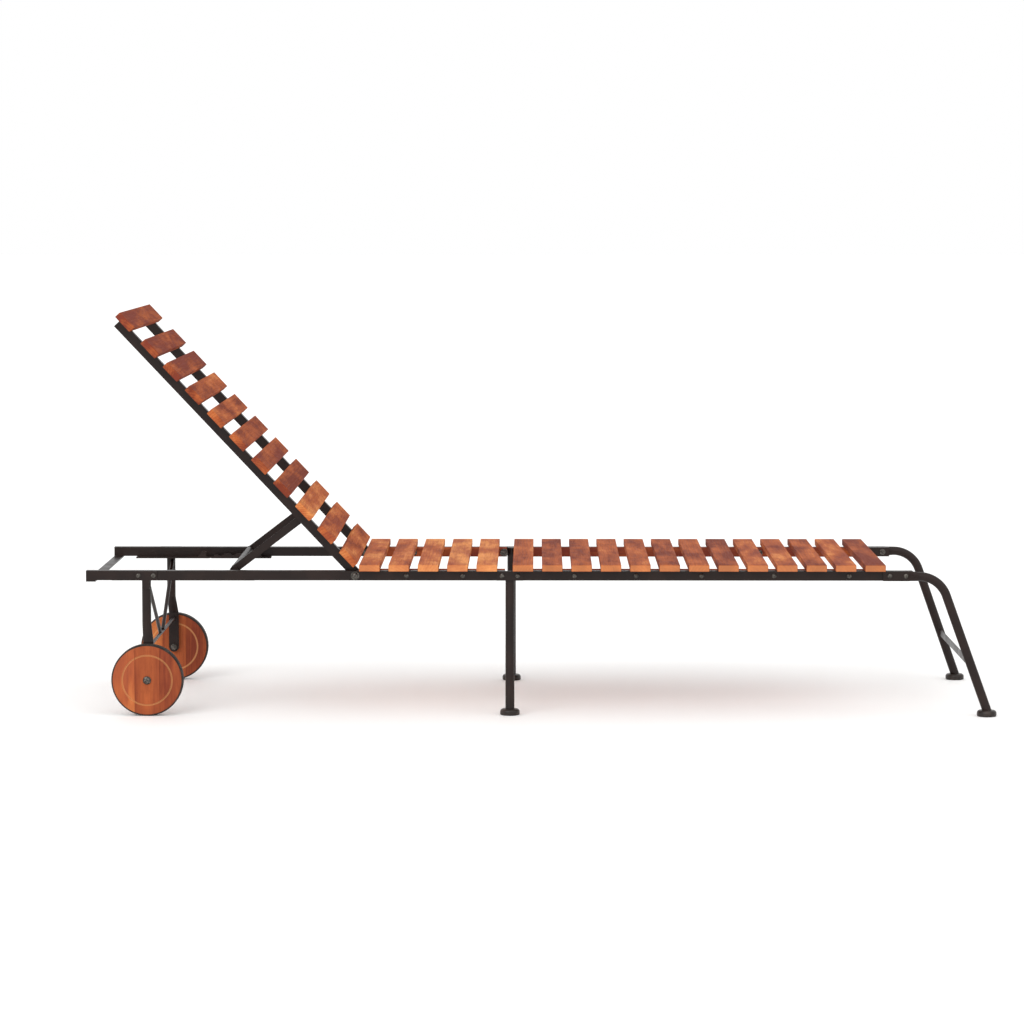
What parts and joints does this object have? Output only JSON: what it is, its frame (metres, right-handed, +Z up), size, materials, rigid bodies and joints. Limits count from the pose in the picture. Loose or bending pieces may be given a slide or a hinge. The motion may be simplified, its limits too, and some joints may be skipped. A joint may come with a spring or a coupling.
{
  "type": "reclining sun lounger",
  "caption": "Wheeled garden sun lounger: hardwood slats across a slim black steel frame, with a backrest that folds down from raised to flat and is propped by a hinged support frame.",
  "frame": {"origin": "On the ground, under the middle of the whole object's box at rest (backrest raised).", "axes": "+Z up, +X from the head end to the foot end, +Y to the left of a person who lies on it."},
  "size_m": [1.9036, 0.641, 0.8418],
  "materials": {
    "seat_wood": "oiled acacia, orange-brown to red-brown, satin",
    "backrest_wood": "oiled acacia, orange-brown to red-brown, satin",
    "batten_wood": "oiled acacia, darker, satin",
    "wheel_wood": "oiled acacia, satin",
    "frame_paint": "fine-textured brown-black powder coat, semi-gloss",
    "bolt_steel": "blackened steel, semi-gloss",
    "screw_steel": "zinc-plated steel",
    "tyre_rubber": "matt black rubber band",
    "glide_plastic": "matt black plastic"
  },
  "bodies": {
    "frame": {"seat_slat_01": "seat_wood", "seat_slat_02": "seat_wood", "seat_slat_03": "seat_wood", "seat_slat_04": "seat_wood", "seat_slat_05": "seat_wood", "seat_slat_06": "seat_wood", "seat_slat_07": "seat_wood", "seat_slat_08": "seat_wood", "seat_slat_09": "seat_wood", "seat_slat_10": "seat_wood", "seat_slat_11": "seat_wood", "seat_slat_12": "seat_wood", "seat_slat_13": "seat_wood", "seat_slat_14": "seat_wood", "seat_slat_15": "seat_wood", "seat_slat_16": "seat_wood", "seat_slat_17": "seat_wood", "seat_slat_18": "seat_wood", "seat_slat_screws": "screw_steel", "head_rail_left": "frame_paint", "head_rail_right": "frame_paint", "foot_rail_left": "frame_paint", "foot_rail_right": "frame_paint", "head_crossbar": "frame_paint", "seat_battens": "batten_wood", "middle_leg_left": "frame_paint", "middle_leg_right": "frame_paint", "foot_leg_left": "frame_paint", "foot_leg_right": "frame_paint", "leg_crossbars": "frame_paint", "wheel_leg_left": "frame_paint", "wheel_leg_right": "frame_paint", "wheel_leg_crossbar": "frame_paint", "wheel_leg_braces": "frame_paint", "support_racks": "frame_paint", "leg_glides": "glide_plastic", "frame_bolts": "bolt_steel", "pivot_bolts": "bolt_steel", "axle_bolts": "bolt_steel"},
    "backrest": {"backrest_slat_01": "backrest_wood", "backrest_slat_02": "backrest_wood", "backrest_slat_03": "backrest_wood", "backrest_slat_04": "backrest_wood", "backrest_slat_05": "backrest_wood", "backrest_slat_06": "backrest_wood", "backrest_slat_07": "backrest_wood", "backrest_slat_08": "backrest_wood", "backrest_slat_09": "backrest_wood", "backrest_slat_10": "backrest_wood", "backrest_slat_11": "backrest_wood", "backrest_slat_screws": "screw_steel", "backrest_rail_left": "frame_paint", "backrest_rail_right": "frame_paint", "support_pivot_pins": "bolt_steel"},
    "support": {"support_arms": "frame_paint", "support_crossbar": "frame_paint"},
    "wheel_left": {"wheel_left": "wheel_wood", "tyre_left": "tyre_rubber"},
    "wheel_right": {"wheel_right": "wheel_wood", "tyre_right": "tyre_rubber"}
  },
  "joints": [
    {"name": "backrest_hinge", "type": "hinge", "parent": "frame", "child": "backrest", "pos_m": [-0.3884, 0, 0.2915], "axis": [0, 1, 0], "range_deg": [-46.7, 0]},
    {"name": "support_hinge", "type": "hinge", "parent": "backrest", "child": "support", "pos_m": [-0.49991, 0, 0.40984], "axis": [0, 1, 0], "range_deg": [0, 84.2]},
    {"name": "wheel_left_spin", "type": "hinge", "parent": "frame", "child": "wheel_left", "pos_m": [-0.822, 0.2965, 0.075], "axis": [0, 1, 0], "continuous": true},
    {"name": "wheel_right_spin", "type": "hinge", "parent": "frame", "child": "wheel_right", "pos_m": [-0.822, -0.2965, 0.075], "axis": [0, 1, 0], "continuous": true}
  ],
  "couplings": [
    {"joint": "support_hinge", "follows": "backrest_hinge", "ratio": -1.7987}
  ]
}
